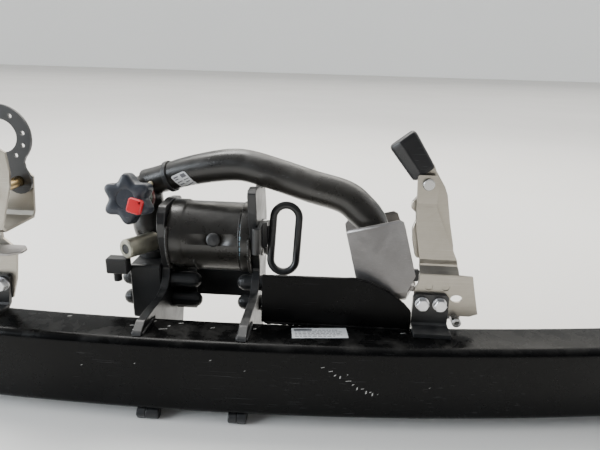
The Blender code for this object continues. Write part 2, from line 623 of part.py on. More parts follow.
# ---------------------------------------------------------------- lever bracket
BOLT_XS, BOLT_Z = (252.9, 272.3), 121.6
leaf_cuts = [hole(f"cut_leaf_{k}", (x, 50, BOLT_Z), (x, 75, BOLT_Z), 4.4, 24) for k, x in enumerate(BOLT_XS)]
# black angle on the beam
strip("lever_angle", [(36, 92.8, 243, 284), (57, 92.8, 243, 284), (60.4, 96.4, 243, 283.5), (60.4, 129.0, 243, 282.5), (60.4, 132.0, 246, 279.5)], 5.0,
      "black_paint", cuts=leaf_cuts)
oval = prism("cut_oval", [(6.5 * math.cos(a), 4.6 * math.sin(a)) for a in [2 * math.pi * i / 24 for i in range(24)]], 30, None,
             frame((292.0, 85, 126), (0, -1, 0), (1, 0, 0)), cutter=True)
pin_cut = hole("cut_pivot", (LEVER_X, 60, LEVER_Z), (LEVER_X, 90, LEVER_Z), 4.3, 28)
dimple_a = hole("cut_dimple_a", (260.0, 60, 139.6), (260.0, 64.6, 139.6), 4.4, 24)
dimple_b = hole("cut_dimple_b", (278.8, 60, 139.8), (278.8, 64.6, 139.8), 4.4, 24)
strip("lever_bracket", [(65, 104.5, 262, 309), (65, 108, 246, 318), (65, 134, 244, 311.5), (65, 144, 248, 309), (65, 153.6, 248.2, 306.8),
                        (65.2, 154.6, 248.2, 291.5), (66.5, 158, 248, 291), (69.6, 163, 247.6, 289.8), (69.6, 166, 247.4, 289.2),
                        (67, 172, 246.2, 287.2), (68.6, 206, 239.6, 270.8), (69.4, 230.5, 237.2, 259.4), (67.4, 235.5, 236.9, 257.8),
                        (67.2, 257, 235.4, 257.6), (67.2, 264, 235.2, 256.2), (67.2, 265.6, 236.6, 254.6)], 3.0, "zinc",
      cuts=leaf_cuts + [oval, pin_cut, dimple_a, dimple_b])
for k, x in enumerate(BOLT_XS):
    through_bolt(f"bracket_bolt_{k + 1}", (x, 57.9 - GAP, BOLT_Z), (0, -1, 0), 12.8, 6.0, 4.0, 8.6 + 3 * GAP, "zinc")
tube("side_bushing", (292.0, 50, 102.4), (292.0, 62.6, 102.4), 5.2, 2.4, "bright_steel", 24)
box("side_tab", (285.0, 67.2, 98), (300.0, 70.2, 116), "zinc", 0.5)

LEVER_OUT = [(237.5, 276), (251.5, 278), (255.5, 269), (266.7, 252), (270.5, 243), (277, 211.5), (283.5, 186), (286, 171),
             (243.5, 169), (238.2, 189.6), (236.6, 203.7), (239.7, 213.2), (238.7, 222.6), (233.2, 226.6), (233.4, 234),
             (238.7, 240.6), (239.0, 262)]
lever = prism("release_lever", rounded(LEVER_OUT[::-1], 4, 2), 4.0, "zinc", frame((0, 78.4, 0), (0, -1, 0), (1, 0, 0)), 0.5,
              cuts=[pin_cut])
turned("lever_pivot", [(0, 5.6), (0.8, 6.2), (3.0, 6.2), (3.0, 4.0), (17.6, 4.0), (17.6, 6.4), (20, 6.4), (20.4, 5.8)], "bright_steel",
       frame((LEVER_X, 62.0, LEVER_Z), (0, 1, 0)), 28)
# grip slid over the top of the lever
grip = prism("lever_grip", rounded([(204.0, 291.8), (228.8, 311.2), (253.8, 273.4), (233.0, 256.2)][::-1], 4, 4), 16.6, "black_plastic",
             frame((0, 86.0, 0), (0, -1, 0), (1, 0, 0)), 2.4)
slot = prism("cut_grip", [(230, 245), (274, 245), (267.6, 252.3), (256.3, 269.6), (252.1, 278.8), (236.6, 276.8)], 4.0 + 2 * GAP, None,
             frame((0, 78.4 + GAP, 0), (0, -1, 0), (1, 0, 0)), cutter=True)
subtract(grip, slot)

# ---------------------------------------------------------------- socket holder
H_CUT = [hole("cut_holder", (-228.0, 40, 122.0), (-228.0, 70, 122.0), 4.4, 24)]
strip("holder_angle", [(30, 92.8, -276, -225), (52.6, 92.8, -276, -224.5), (56.2, 96.4, -275, -224), (56.2, 130, -274, -218.3),
                       (56.2, 133, -271, -221)], 5.0, "black_paint", cuts=H_CUT)
through_bolt("holder_bolt", (-228.0, 53.7 - GAP, 122.0), (0, -1, 0), 14.0, 6.5, 4.0, 8.4 + 3 * GAP, "zinc")
p_cut = hole("cut_holder_pin", (RING_X, 0, RING_Z), (RING_X, 85, RING_Z), 6.0, 24)
strip("holder_arm", [(60.6, 101, -256, -222), (60.6, 125, -254, -214), (60.6, 154, -252, -209), (60.6, 162, -252, -206),
                     (60.6, 176, -250, -222), (60.6, 199.2, -248, -222)], 3.0, "zinc", cuts=H_CUT)
# shelf that steadies the arm, open toward the front
prism("holder_shelf", rounded([(-250, 30), (-200, 32), (-189, 40), (-189, 50), (-196, 58.8), (-250, 58.8)], 5, 3), 3.0, "zinc",
      Matrix.Translation((0, 0, 166)), 0.6)
strip("holder_fork", [(66, 256.5, -209, -193), (66, 254, -214, -186), (66, 247, -219, -179.5), (66, 208, -246, -183.5), (63, 202, -248, -184),
                      (14, 202, -248, -184), (8.9, 206, -246, -183), (8.5, 223, -222, -177.5), (8.5, 251, -212, -168.2),
                      (8.5, 264, -208, -166.2), (8.5, 284, -204, -167.5), (8.5, 288, -198, -174)], 3.0, "zinc", cuts=[p_cut])
turned("ring_pin", [(0, 7.4), (0.8, 8.2), (5, 8.2), (5, 5.6), (71, 5.6), (71.8, 5.0)], "brass", frame((RING_X, 1.7, RING_Z), (0, 1, 0)), 28)
# socket plate: a ring with screw holes and a tab for the pin
RC, RING_R, RING_BORE, RING_PITCH = (-204.5, 291.5), 32.7, 17.6, 24.6
ring_holes = []
for k, deg in enumerate((8, 57, 97, 130, 172, 205, 236, 304, 337)):
    a = math.radians(deg)
    x, z = RC[0] + RING_PITCH * math.cos(a), RC[1] + RING_PITCH * math.sin(a)
    ring_holes.append(hole(f"cut_ring_{k}", (x, 50, z), (x, 70, z), 2.4, 10))
ring_holes.append(hole("cut_ring_bore", (RC[0], 50, RC[1]), (RC[0], 70, RC[1]), RING_BORE, 36))
ring_holes.append(p_cut)
arc = [(RC[0] + RING_R * math.cos(math.radians(a)), RC[1] + RING_R * math.sin(math.radians(a))) for a in range(-44, 239, 9)]
tab = [(RING_X + 14.2 * math.cos(math.radians(a)), RING_Z + 14.2 * math.sin(math.radians(a))) for a in range(150, 391, 20)]
outline = arc + [(-218.5, 262.5), (-207.5, 255)] + tab + [(-182.8, 257.5), (-183.4, 263.5)]
prism("socket_ring", outline[::-1], 3.2, "black_paint", frame((0, 61.6, 0), (0, -1, 0), (1, 0, 0)), 0.0, cuts=ring_holes)

# ---------------------------------------------------------------- eyelet
ring_path = []
RXC, RZC, R_END, R_STRAIGHT, R_BAR = 92.8, 168.7, 15.6, 25.4, 4.6
LEAN = math.radians(-2.5)
loop = [(R_END * math.cos(math.radians(a)), R_STRAIGHT + R_END * math.sin(math.radians(a))) for a in range(0, 181, 15)]
loop += [(-R_END, 8.5), (-R_END, -8.5)]
loop += [(R_END * math.cos(math.radians(a)), -R_STRAIGHT + R_END * math.sin(math.radians(a))) for a in range(180, 361, 15)]
loop += [(R_END, -8.5), (R_END, 8.5)]
for u, v in loop:
    ring_path.append((RXC + u * math.cos(LEAN) - v * math.sin(LEAN), 118 + 0.16 * v, RZC + u * math.sin(LEAN) + v * math.cos(LEAN), R_BAR))
sweep("eyelet_ring", ring_path, "black_paint", 12, closed=True)
# hinge boss in front of the side plate, running back to the ring
boss = [(61.4 + 4.9 * math.cos(math.radians(a)), 90.0 + 4.9 * math.sin(math.radians(a))) for a in range(120, 361, 20)]
prism("eyelet_plate", boss + [(66.3, 110), (71.5, 113), (71.5, 121), (XR + GAP, 121), (XR + GAP, 96)], 32.0, "black_paint",
      Matrix.Translation((0, 0, 158)), 0.5)

# label plates without text
tilted = Matrix.Translation((139.7, 34.9, 0)) @ Matrix.Rotation(math.radians(5.9), 4, "Z")
box("beam_label", (-30.8, -10.2, BEAM_H + 0.1), (30.8, 10.2, BEAM_H + 0.5), "label", 0.0, tilted)
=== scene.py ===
"""Looks of the tow-bar kit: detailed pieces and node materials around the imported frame."""
import json
import math
import random

import bmesh
import bpy
from mathutils import Matrix, Vector, noise


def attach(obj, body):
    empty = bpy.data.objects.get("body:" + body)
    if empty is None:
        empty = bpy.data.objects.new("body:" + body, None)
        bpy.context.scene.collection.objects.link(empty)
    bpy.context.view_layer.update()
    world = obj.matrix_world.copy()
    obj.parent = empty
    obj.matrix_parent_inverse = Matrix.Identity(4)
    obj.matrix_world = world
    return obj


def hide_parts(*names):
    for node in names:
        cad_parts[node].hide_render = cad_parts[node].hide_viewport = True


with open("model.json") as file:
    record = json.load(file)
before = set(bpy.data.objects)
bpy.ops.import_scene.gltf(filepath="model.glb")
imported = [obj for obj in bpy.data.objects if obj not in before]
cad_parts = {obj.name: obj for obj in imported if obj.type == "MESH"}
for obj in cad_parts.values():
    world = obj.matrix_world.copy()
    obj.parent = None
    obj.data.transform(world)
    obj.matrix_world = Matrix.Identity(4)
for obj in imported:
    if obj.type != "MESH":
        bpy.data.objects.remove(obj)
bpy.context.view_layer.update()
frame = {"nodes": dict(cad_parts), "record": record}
random.seed(7)
NODES = frame["nodes"]
SHIFT = Vector((0.0, -96.98, 13.2))
MM = 0.001


# =============================================================== node helpers
class Tree:
    def __init__(self, name):
        self.mat = bpy.data.materials.new(name)
        self.mat.use_nodes = True
        self.t = self.mat.node_tree
        self.t.nodes.clear()
        self.out = self.t.nodes.new("ShaderNodeOutputMaterial")
        self.b = self.t.nodes.new("ShaderNodeBsdfPrincipled")
        self.t.links.new(self.b.outputs[0], self.out.inputs[0])
        self.co = self.t.nodes.new("ShaderNodeTexCoord").outputs["Object"]
        self.geo = self.t.nodes.new("ShaderNodeNewGeometry")

    def link(self, a, b):
        self.t.links.new(a, b)

    def put(self, socket, value):
        if isinstance(value, bpy.types.NodeSocket):
            self.link(value, socket)
        else:
            socket.default_value = value

    def noise(self, scale, detail=3.0, rough=0.55, stretch=None, rot=None, dist=0.0):
        n = self.t.nodes.new("ShaderNodeTexNoise")
        n.inputs["Scale"].default_value = scale
        n.inputs["Detail"].default_value = detail
        n.inputs["Roughness"].default_value = rough
        n.inputs["Distortion"].default_value = dist
        src = self.co
        if stretch or rot:
            m = self.t.nodes.new("ShaderNodeMapping")
            m.inputs["Scale"].default_value = stretch or (1, 1, 1)
            m.inputs["Rotation"].default_value = rot or (0, 0, 0)
            self.link(self.co, m.inputs["Vector"])
            src = m.outputs[0]
        self.link(src, n.inputs["Vector"])
        return n.outputs["Fac"]

    def voronoi(self, scale, feature="F1"):
        n = self.t.nodes.new("ShaderNodeTexVoronoi")
        n.feature = feature
        n.inputs["Scale"].default_value = scale
        self.link(self.co, n.inputs["Vector"])
        return n.outputs["Distance"]

    def ramp(self, fac, a, b, va=0.0, vb=1.0, smooth=True):
        n = self.t.nodes.new("ShaderNodeMapRange")
        n.interpolation_type = "SMOOTHSTEP" if smooth else "LINEAR"
        n.inputs["From Min"].default_value = a
        n.inputs["From Max"].default_value = b
        n.inputs["To Min"].default_value = va
        n.inputs["To Max"].default_value = vb
        self.put(n.inputs["Value"], fac)
        return n.outputs["Result"]

    def math(self, op, a, b=0.0, clamp=False):
        n = self.t.nodes.new("ShaderNodeMath")
        n.operation = op
        n.use_clamp = clamp
        self.put(n.inputs[0], a)
        self.put(n.inputs[1], b)
        return n.outputs[0]

    def mix(self, fac, a, b):
        n = self.t.nodes.new("ShaderNodeMix")
        n.data_type = "RGBA"
        self.put(n.inputs[0], fac)
        self.put(n.inputs[6], a if isinstance(a, bpy.types.NodeSocket) else (*a, 1.0))
        self.put(n.inputs[7], b if isinstance(b, bpy.types.NodeSocket) else (*b, 1.0))
        return n.outputs[2]

    def bump(self, height, strength, distance, before=None):
        n = self.t.nodes.new("ShaderNodeBump")
        n.inputs["Strength"].default_value = strength
        n.inputs["Distance"].default_value = distance
        self.link(height, n.inputs["Height"])
        if before is not None:
            self.link(before, n.inputs["Normal"])
        return n.outputs[0]

    def edges(self, radius):
        """1 on sharp convex edges, 0 on flats."""
        bev = self.t.nodes.new("ShaderNodeBevel")
        bev.samples = 3
        bev.inputs["Radius"].default_value = radius
        dot = self.t.nodes.new("ShaderNodeVectorMath")
        dot.operation = "DOT_PRODUCT"
        self.link(bev.outputs[0], dot.inputs[0])
        self.link(self.geo.outputs["Normal"], dot.inputs[1])
        return self.ramp(dot.outputs["Value"], 0.985, 0.86)

    def up(self, a=0.3, b=0.95):
        sep = self.t.nodes.new("ShaderNodeSeparateXYZ")
        self.link(self.geo.outputs["Normal"], sep.inputs[0])
        return self.ramp(sep.outputs[2], a, b)

    def done(self, color, rough, metallic=0.0, normal=None, spec=0.5, coat=0.0):
        self.put(self.b.inputs["Base Color"], color if isinstance(color, bpy.types.NodeSocket) else (*color, 1.0))
        self.put(self.b.inputs["Roughness"], rough)
        self.put(self.b.inputs["Metallic"], metallic)
        self.b.inputs["Specular IOR Level"].default_value = spec
        self.b.inputs["Coat Weight"].default_value = coat
        if normal is not None:
            self.link(normal, self.b.inputs["Normal"])
        return self.mat


MATS = {}


def scratch_mask(t, rot, fine=900.0, long=9.0, keep=0.71, zone=(0.5, 0.62), zscale=9.0):
    """Long thin marks in one direction, only in some patches."""
    line = t.noise(1.0, 1.0, 0.4, stretch=(long, fine, fine), rot=rot)
    patch = t.noise(zscale, 2.0)
    return t.math("MULTIPLY", t.ramp(line, keep, keep + 0.03), t.ramp(patch, *zone))


def black_paint(name, base=0.012, rough=0.3, dust=1.0, wear=1.0, tint=(1.0, 1.02, 1.06), spec=0.5, scratch=1.0, grain=0.16):
    t = Tree(name)
    big = t.noise(5.0, 3.0)
    mid = t.noise(38.0, 4.0, 0.6)
    dark = tuple(base * 0.75 * c for c in tint)
    light = tuple(base * 1.7 * c for c in tint)
    color = t.mix(t.ramp(big, 0.35, 0.68), dark, light)
    # fine dust on what faces up, in blotches
    grainy = t.noise(420.0, 2.0, 0.7)
    blot = t.math("MULTIPLY", t.ramp(mid, 0.42, 0.75), t.up(), clamp=True)
    blot = t.math("MULTIPLY", blot, t.ramp(grainy, 0.3, 0.7, 0.35, 1.0))
    color = t.mix(t.math("MULTIPLY", blot, 0.16 * dust), color, (0.30, 0.29, 0.27))
    s1 = scratch_mask(t, (0.2, 0.5, 0.35))
    s2 = scratch_mask(t, (1.1, -0.3, -0.7), 1300.0, 14.0, 0.72, (0.52, 0.66), 13.0)
    marks = t.math("MAXIMUM", s1, s2)
    edge = t.math("MULTIPLY", t.edges(0.0012), t.ramp(t.noise(150.0, 3.0, 0.65), 0.5, 0.68))
    edge = t.math("MULTIPLY", edge, wear, clamp=True)
    color = t.mix(t.math("MULTIPLY", marks, 0.5 * scratch, clamp=True), color, (0.16, 0.16, 0.165))
    color = t.mix(t.math("MULTIPLY", edge, 0.7), color, (0.22, 0.215, 0.21))
    r = t.ramp(mid, 0.3, 0.75, rough - 0.05, rough + 0.09)
    r = t.math("ADD", r, t.math("MULTIPLY", blot, 0.22), clamp=True)
    peel = t.noise(520.0, 2.0, 0.5)
    wave = t.noise(55.0, 2.0, 0.5)
    n = t.bump(peel, grain, 0.0004)
    n = t.bump(wave, 0.05, 0.002, n)
    n = t.bump(t.math("MULTIPLY", marks, -1.0), 0.25, 0.0003, n)
    MATS[name] = t.done(color, r, t.math("MULTIPLY", edge, 0.6), n, spec)
    return MATS[name]


def sheet_metal(name, rgb, rough=0.36, brush=(0, 0, 0), streak=0.5, blotch=0.25, wear=0.5, metallic=0.92, brush_scale=(12.0, 1500.0, 1500.0), dirt=(0.30, 0.27, 0.22)):
    t = Tree(name)
    lines = t.noise(1.0, 2.0, 0.55, stretch=brush_scale, rot=brush)
    cloud = t.noise(16.0, 4.0, 0.6, dist=0.6)
    fine = t.noise(260.0, 3.0, 0.6)
    dark = tuple(c * (1 - blotch) for c in rgb)
    lite = tuple(min(1.0, c * (1 + blotch * 0.5)) for c in rgb)
    color = t.mix(t.ramp(cloud, 0.32, 0.7), dark, lite)
    color = t.mix(t.ramp(lines, 0.35, 0.75, 0.0, 0.35 * streak), color, tuple(c * 0.62 for c in rgb))
    stain = t.math("MULTIPLY", t.ramp(t.noise(31.0, 5.0, 0.65), 0.58, 0.72), t.ramp(fine, 0.35, 0.65, 0.4, 1.0))
    color = t.mix(t.math("MULTIPLY", stain, 0.3 * wear), color, dirt)
    s = scratch_mask(t, (0.4, 0.9, 0.2), 1500.0, 22.0, 0.69, (0.42, 0.6), 20.0)
    color = t.mix(t.math("MULTIPLY", s, 0.5), color, tuple(min(1, c * 1.3) for c in rgb))
    r = t.ramp(cloud, 0.3, 0.72, rough - 0.07, rough + 0.1)
    r = t.math("ADD", r, t.math("MULTIPLY", stain, 0.15), clamp=True)
    n = t.bump(lines, 0.12, 0.0003)
    n = t.bump(fine, 0.06, 0.0004, n)
    n = t.bump(s, 0.2, 0.0002, n)
    MATS[name] = t.done(color, r, metallic, n, 0.5)
    return MATS[name]


def plastic(name, rgb, rough=0.45, var=0.25, grain=380.0, bump=0.18, spec=0.45, scuff=(0.3, 0.3, 0.3), amount=0.12, coat=0.0):
    t = Tree(name)
    cloud = t.noise(22.0, 3.0)
    g = t.noise(grain, 2.0, 0.6)
    color = t.mix(t.ramp(cloud, 0.3, 0.7), tuple(c * (1 - var) for c in rgb), tuple(min(1, c * (1 + var)) for c in rgb))
    s = scratch_mask(t, (0.7, 0.1, 0.6), 1600.0, 40.0, 0.68, (0.42, 0.6), 40.0)
    edge = t.math("MULTIPLY", t.edges(0.0008), t.ramp(t.noise(240.0, 2.0), 0.42, 0.62))
    m = t.math("MAXIMUM", t.math("MULTIPLY", s, 0.8), edge)
    color = t.mix(t.math("MULTIPLY", m, amount * 3, clamp=True), color, scuff)
    r = t.ramp(cloud, 0.3, 0.7, rough - 0.06, rough + 0.08)
    n = t.bump(g, bump, 0.0004)
    n = t.bump(s, 0.15, 0.0002, n)
    MATS[name] = t.done(color, r, 0.0, n, spec, coat)
    return MATS[name]


black_paint("beam_paint", base=0.0015, rough=0.25, dust=0.28, wear=0.5, scratch=0.25, spec=0.1)
black_paint("plate_paint", base=0.011, rough=0.34, dust=0.8, wear=0.9, scratch=0.7)
black_paint("gusset_paint", base=0.0015, rough=0.3, dust=0.7, wear=0.5, scratch=0.3, spec=0.08)
black_paint("neck_paint", base=0.011, rough=0.3, dust=0.5, wear=0.5, tint=(1.12, 1.02, 0.86), scratch=0.6, grain=0.1)
black_paint("housing_paint", base=0.013, rough=0.3, dust=0.8, wear=0.7, tint=(1.1, 1.02, 0.88), scratch=0.8, grain=0.2)
black_paint("dark_phosphate", base=0.014, rough=0.4, dust=0.6, wear=1.1, scratch=0.5, grain=0.26)
sheet_metal("zinc_sheet", (0.31, 0.295, 0.285), 0.38, brush=(0, 0.2, 0), blotch=0.12, wear=0.3)
sheet_metal("zinc_lever", (0.36, 0.335, 0.29), 0.35, brush=(0, 1.45, 0), blotch=0.16)
sheet_metal("zinc_bolt", (0.66, 0.66, 0.67), 0.3, brush=(0.3, 0.2, 0.9), brush_scale=(200, 900, 900), blotch=0.3)
sheet_metal("chrome_band", (0.74, 0.74, 0.74), 0.16, blotch=0.2, wear=1.0, metallic=1.0)
sheet_metal("ground_steel", (0.55, 0.55, 0.55), 0.27, brush=(0, 0.1, 0.2), blotch=0.3, metallic=1.0)
sheet_metal("brass_pin", (0.62, 0.45, 0.22), 0.3, blotch=0.3, metallic=1.0, dirt=(0.2, 0.12, 0.06))
sheet_metal("olive_zinc", (0.40, 0.385, 0.31), 0.36, blotch=0.3, metallic=0.75)
plastic("wheel_plastic", (0.028, 0.033, 0.045), 0.42, 0.3, amount=0.1)
plastic("grip_plastic", (0.012, 0.012, 0.013), 0.42, 0.3, amount=0.08)
plastic("box_plastic", (0.014, 0.014, 0.015), 0.45, 0.3, amount=0.1)
plastic("key_red", (0.62, 0.012, 0.02), 0.33, 0.12, scuff=(0.8, 0.4, 0.4), amount=0.08, coat=0.2)
plastic("band_red", (0.20, 0.06, 0.055), 0.4, 0.2, amount=0.1)
plastic("band_green", (0.07, 0.10, 0.07), 0.42, 0.2, amount=0.1)
plastic("cream_plastic", (0.75, 0.66, 0.45), 0.35, 0.1, scuff=(0.4, 0.35, 0.25), amount=0.1)
plastic("rubber_black", (0.012, 0.012, 0.012), 0.62, 0.3, bump=0.3, spec=0.3)
plastic("silver_film", (0.60, 0.61, 0.62), 0.33, 0.08, grain=900.0, bump=0.05, scuff=(0.4, 0.4, 0.4), amount=0.12)
plastic("film_line", (0.10, 0.10, 0.11), 0.45, 0.3)
plastic("bare_scratch", (0.33, 0.33, 0.32), 0.5, 0.4, scuff=(0.1, 0.1, 0.1), amount=0.3)
plastic("blue_mark", (0.12, 0.20, 0.24), 0.5, 0.3, scuff=(0.05, 0.06, 0.07), amount=0.3)

BY_SLOT = {
    "black_paint": "plate_paint", "dark_steel": "dark_phosphate", "zinc": "zinc_sheet", "chrome": "chrome_band",
    "olive": "olive_zinc", "blue_grey": "wheel_plastic", "red": "key_red", "green": "band_green",
    "black_plastic": "box_plastic", "brass": "brass_pin", "cream": "cream_plastic", "label": "silver_film",
    "rubber": "rubber_black", "bright_steel": "ground_steel",
}
SPECIAL = {
    "crossbeam": "beam_paint", "gusset_plate": "gusset_paint", "swan_neck": "neck_paint",
    "swivel_housing": "housing_paint", "lever_grip": "grip_plastic", "marker_red": "band_red",
    "release_lever": "zinc_lever", "lever_bracket": "zinc_lever", "side_tab": "zinc_bolt",
    "bracket_bolt_1": "zinc_bolt", "bracket_bolt_2": "zinc_bolt", "holder_bolt": "zinc_bolt",
    "holder_arm": "zinc_lever", "holder_fork": "zinc_lever", "lock_barrel": "zinc_bolt",
}
SLOT_OF = {row["node"]: row["material_slot"] for row in frame["record"]["subparts"]}
for name, obj in NODES.items():
    mat = MATS[SPECIAL.get(name) or BY_SLOT[SLOT_OF[name]]]
    obj.data.materials.clear()
    obj.data.materials.append(mat)
    # close the importer's split vertices, then round the hard edges a little
    weld = obj.modifiers.new("Weld", "WELD")
    weld.merge_threshold = 2e-6
    bev = obj.modifiers.new("Round", "BEVEL")
    bev.width = 0.00035
    bev.segments = 2
    bev.limit_method = "ANGLE"
    bev.angle_limit = math.radians(32)
    bev.use_clamp_overlap = True


# =============================================================== detailed pieces
def mm(p):
    return (Vector(p) + SHIFT) * MM


def make(name, bm, mat, body, smooth=40.0, stands_for=()):
    bmesh.ops.remove_doubles(bm, verts=bm.verts, dist=1e-6)
    bmesh.ops.recalc_face_normals(bm, faces=bm.faces)
    me = bpy.data.meshes.new(name)
    bm.to_mesh(me)
    bm.free()
    for poly in me.polygons:
        poly.use_smooth = True
    me.set_sharp_from_angle(angle=math.radians(smooth))
    ob = bpy.data.objects.new(name, me)
    ob.data.materials.append(MATS[mat])
    bpy.context.scene.collection.objects.link(ob)
    if body:
        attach(ob, body)
    if stands_for:
        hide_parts(*stands_for)
    return ob


def bake(ob):
    """Turns the modifiers into the mesh itself."""
    dg = bpy.context.evaluated_depsgraph_get()
    me = bpy.data.meshes.new_from_object(ob.evaluated_get(dg))
    ob.modifiers.clear()
    ob.data = me
    return ob


def drop(ob):
    bpy.data.objects.remove(ob, do_unlink=True)


def basis(origin, axis, ref=(1, 0, 0)):
    z = Vector(axis).normalized()
    x = Vector(ref) - Vector(ref).dot(z) * z
    if x.length < 1e-3:
        x = Vector((0, 1, 0)) - Vector((0, 1, 0)).dot(z) * z
    x.normalize()
    return Matrix.Translation(Vector(origin)) @ Matrix((x, z.cross(x), z)).transposed().to_4x4()


def loft(rows, closed_rows=True, caps=True, wrap=False):
    bm = bmesh.new()
    vs = [[bm.verts.new(p) for p in row] for row in rows]
    pairs = list(zip(vs, vs[1:])) + ([(vs[-1], vs[0])] if wrap else [])
    n = len(vs[0])
    for a, b in pairs:
        for i in range(n if closed_rows else n - 1):
            j = (i + 1) % n
            bm.faces.new((a[i], a[j], b[j], b[i]))
    if caps and not wrap and closed_rows:
        bm.faces.new(vs[0][::-1])
        bm.faces.new(vs[-1])
    return bm


def turned(stack, matrix, seg=96, wrap=False):
    rows = []
    for z, r in stack:
        row = []
        for i in range(seg):
            a = 2 * math.pi * i / seg
            q = r(a) if callable(r) else max(r, 0.01)
            row.append(mm(matrix @ Vector((q * math.cos(a), q * math.sin(a), z))))
        rows.append(row)
    return loft(rows, wrap=wrap)


def spline(points, steps):
    pts = [points[0]] + list(points) + [points[-1]]
    out = []
    for i in range(1, len(pts) - 2):
        p0, p1, p2, p3 = pts[i - 1:i + 3]
        for k in range(steps):
            t = k / steps
            out.append(tuple(0.5 * (2 * b + (c - a) * t + (2 * a - 5 * b + 4 * c - d) * t * t
                                    + (3 * b - a - 3 * c + d) * t ** 3) for a, b, c, d in zip(p0, p1, p2, p3)))
    out.append(tuple(points[-1]))
    return out


def swept(path, seg=64, wrap=False, ripple=0.0, seed=0.0):
    pts = [Vector(p[:3]) for p in path]
    n = len(pts)
    rows = []
    normal = None
    for i, p in enumerate(pts):
        a = pts[(i - 1) % n] if (wrap or i) else p
        b = pts[(i + 1) % n] if (wrap or i < n - 1) else p
        t = (b - a).normalized()
        if normal is None:
            ref = Vector((0, 0, 1)) if abs(t.z) < 0.9 else Vector((0, 1, 0))
            normal = ref
        normal = (normal - normal.dot(t) * t).normalized()
        side = t.cross(normal)
        row = []
        for k in range(seg):
            an = 2 * math.pi * k / seg
            r = path[i][3]
            if ripple:
                r *= 1 + ripple * noise.noise(Vector((i * 0.9 + seed, k * 0.5, seed)))
            row.append(mm(p + r * (math.cos(an) * normal + math.sin(an) * side)))
        rows.append(row)
    return loft(rows, wrap=wrap)


def outline_round(points, radius, steps=6):
    out = []
    n = len(points)
    radii = radius if isinstance(radius, (list, tuple)) else [radius] * n
    for i in range(n):
        p, a, b = Vector(points[i]), Vector(points[i - 1]), Vector(points[(i + 1) % n])
        u, v = a - p, b - p
        ang = u.angle(v)
        cut = min(radii[i] / math.tan(ang / 2), u.length * 0.48, v.length * 0.48)
        rr = cut * math.tan(ang / 2)
        u.normalize(), v.normalize()
        c = p + (u + v).normalized() * (rr / math.sin(ang / 2))
        s, e = p + u * cut - c, p + v * cut - c
        a0, a1 = math.atan2(s.y, s.x), math.atan2(e.y, e.x)
        d = (a1 - a0 + math.pi) % (2 * math.pi) - math.pi
        out += [(c.x + rr * math.cos(a0 + d * k / steps), c.y + rr * math.sin(a0 + d * k / steps)) for k in range(steps + 1)]
    return out


def boolean(ob, other, op):
    m = ob.modifiers.new("b", "BOOLEAN")
    m.operation, m.solver, m.object = op, "EXACT", other


# frames of the stowed mechanism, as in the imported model
ST, CT = math.sin(math.radians(13)), math.cos(math.radians(13))
PR, WY = math.radians(9), math.radians(4)
AX = Vector((-math.sin(PR), math.cos(PR) * ST, math.cos(PR) * CT))
OUT = Vector((-math.sin(WY), -math.cos(WY) * CT, math.cos(WY) * ST))
OUT = (OUT - OUT.dot(AX) * AX).normalized()
SIDE = AX.cross(OUT)
PLUG = Vector((-83.0, 151.0, 128.0))


def on_plug(t, out=0.0, side=0.0):
    return PLUG + AX * t + OUT * out + SIDE * side


# ---- cross-beam skin: fine rounded section along the bow, with slight dents
BOW, HALF, D, H, R = 1.47e-4, 540.0, 54.0, 90.0, 9.0
section = outline_round([(0, 0), (D, 0), (D, H), (0, H)], R, 9)
rows = []
for i in range(181):
    x = -HALF + 2 * HALF * i / 180
    row = []
    for y, z in section:
        w = 0.22 * noise.noise(Vector((x * 0.012, y * 0.03, z * 0.03)))
        inward = 1.0 if 0.5 < i < 179.5 else 0.0
        cy, cz = D / 2 - y, H / 2 - z
        ln = math.hypot(cy, cz)
        push = max(0.0, w) * inward
        row.append(mm((x, y + BOW * x * x + cy / ln * push, z + cz / ln * push)))
    rows.append(row)
beam = make("beam_skin", loft(rows), "beam_paint", "carrier", 40, ("crossbeam",))

# ---- swan neck: root and bent bar in one smooth casting
root_stack = [(14.2, 13.0), (14.2, 15.0), (20, 17.5), (30, 20.5), (38, 21.5), (90, 21.5), (97, 20), (101, 16.5), (102.8, 11), (103.4, 5), (103.5, 0.4)]
NECK = [(-96.0, 171.0, 219.0, 17.0), (-80, 169.4, 223.0, 17.6), (-66, 167.6, 227.6, 17.9), (-41, 164.6, 236.4, 18.5),
        (-14, 161.5, 243.4, 19.3), (19, 157.2, 249.6, 20), (45, 152.7, 249.6, 20), (83.3, 144.4, 241.4, 20),
        (120.7, 135.8, 232.1, 20), (163, 126.3, 222.8, 20), (183, 120.3, 209.3, 19.7), (193.6, 115.6, 199.8, 18.8),
        (199.3, 111.8, 194.2, 16.8), (200.6, 110.0, 189.6, 15.0), (200.87, 109.37, 186.8, 14.5)]
neck = make("neck_skin", turned(root_stack, basis(PLUG, AX), 96), "neck_paint", None)
bar = make("tmp_bar", swept(spline(NECK, 9), 72), "neck_paint", None)
boolean(neck, bar, "UNION")
bake(neck)
rm = neck.modifiers.new("r", "REMESH")
rm.mode, rm.voxel_size = "VOXEL", 0.0013
sm = neck.modifiers.new("s", "SMOOTH")
sm.factor, sm.iterations = 0.5, 9
bake(neck)
cutters = [make("tmp_c1", turned([(-12, 7.5), (60, 7.5)], basis(on_plug(75, 0, 4), OUT), 40), "neck_paint", None),
           make("tmp_c2", turned([(10, 3.4), (60, 3.4)], basis(on_plug(91, 0, 17), OUT), 28), "neck_paint", None),
           make("tmp_c3", turned([(-40, 13.1), (21.6, 13.1)], basis(PLUG, AX), 48), "neck_paint", None)]
for cut in cutters:
    boolean(neck, cut, "DIFFERENCE")
bake(neck)
for ob in cutters + [bar]:
    drop(ob)
for poly in neck.data.polygons:
    poly.use_smooth = True
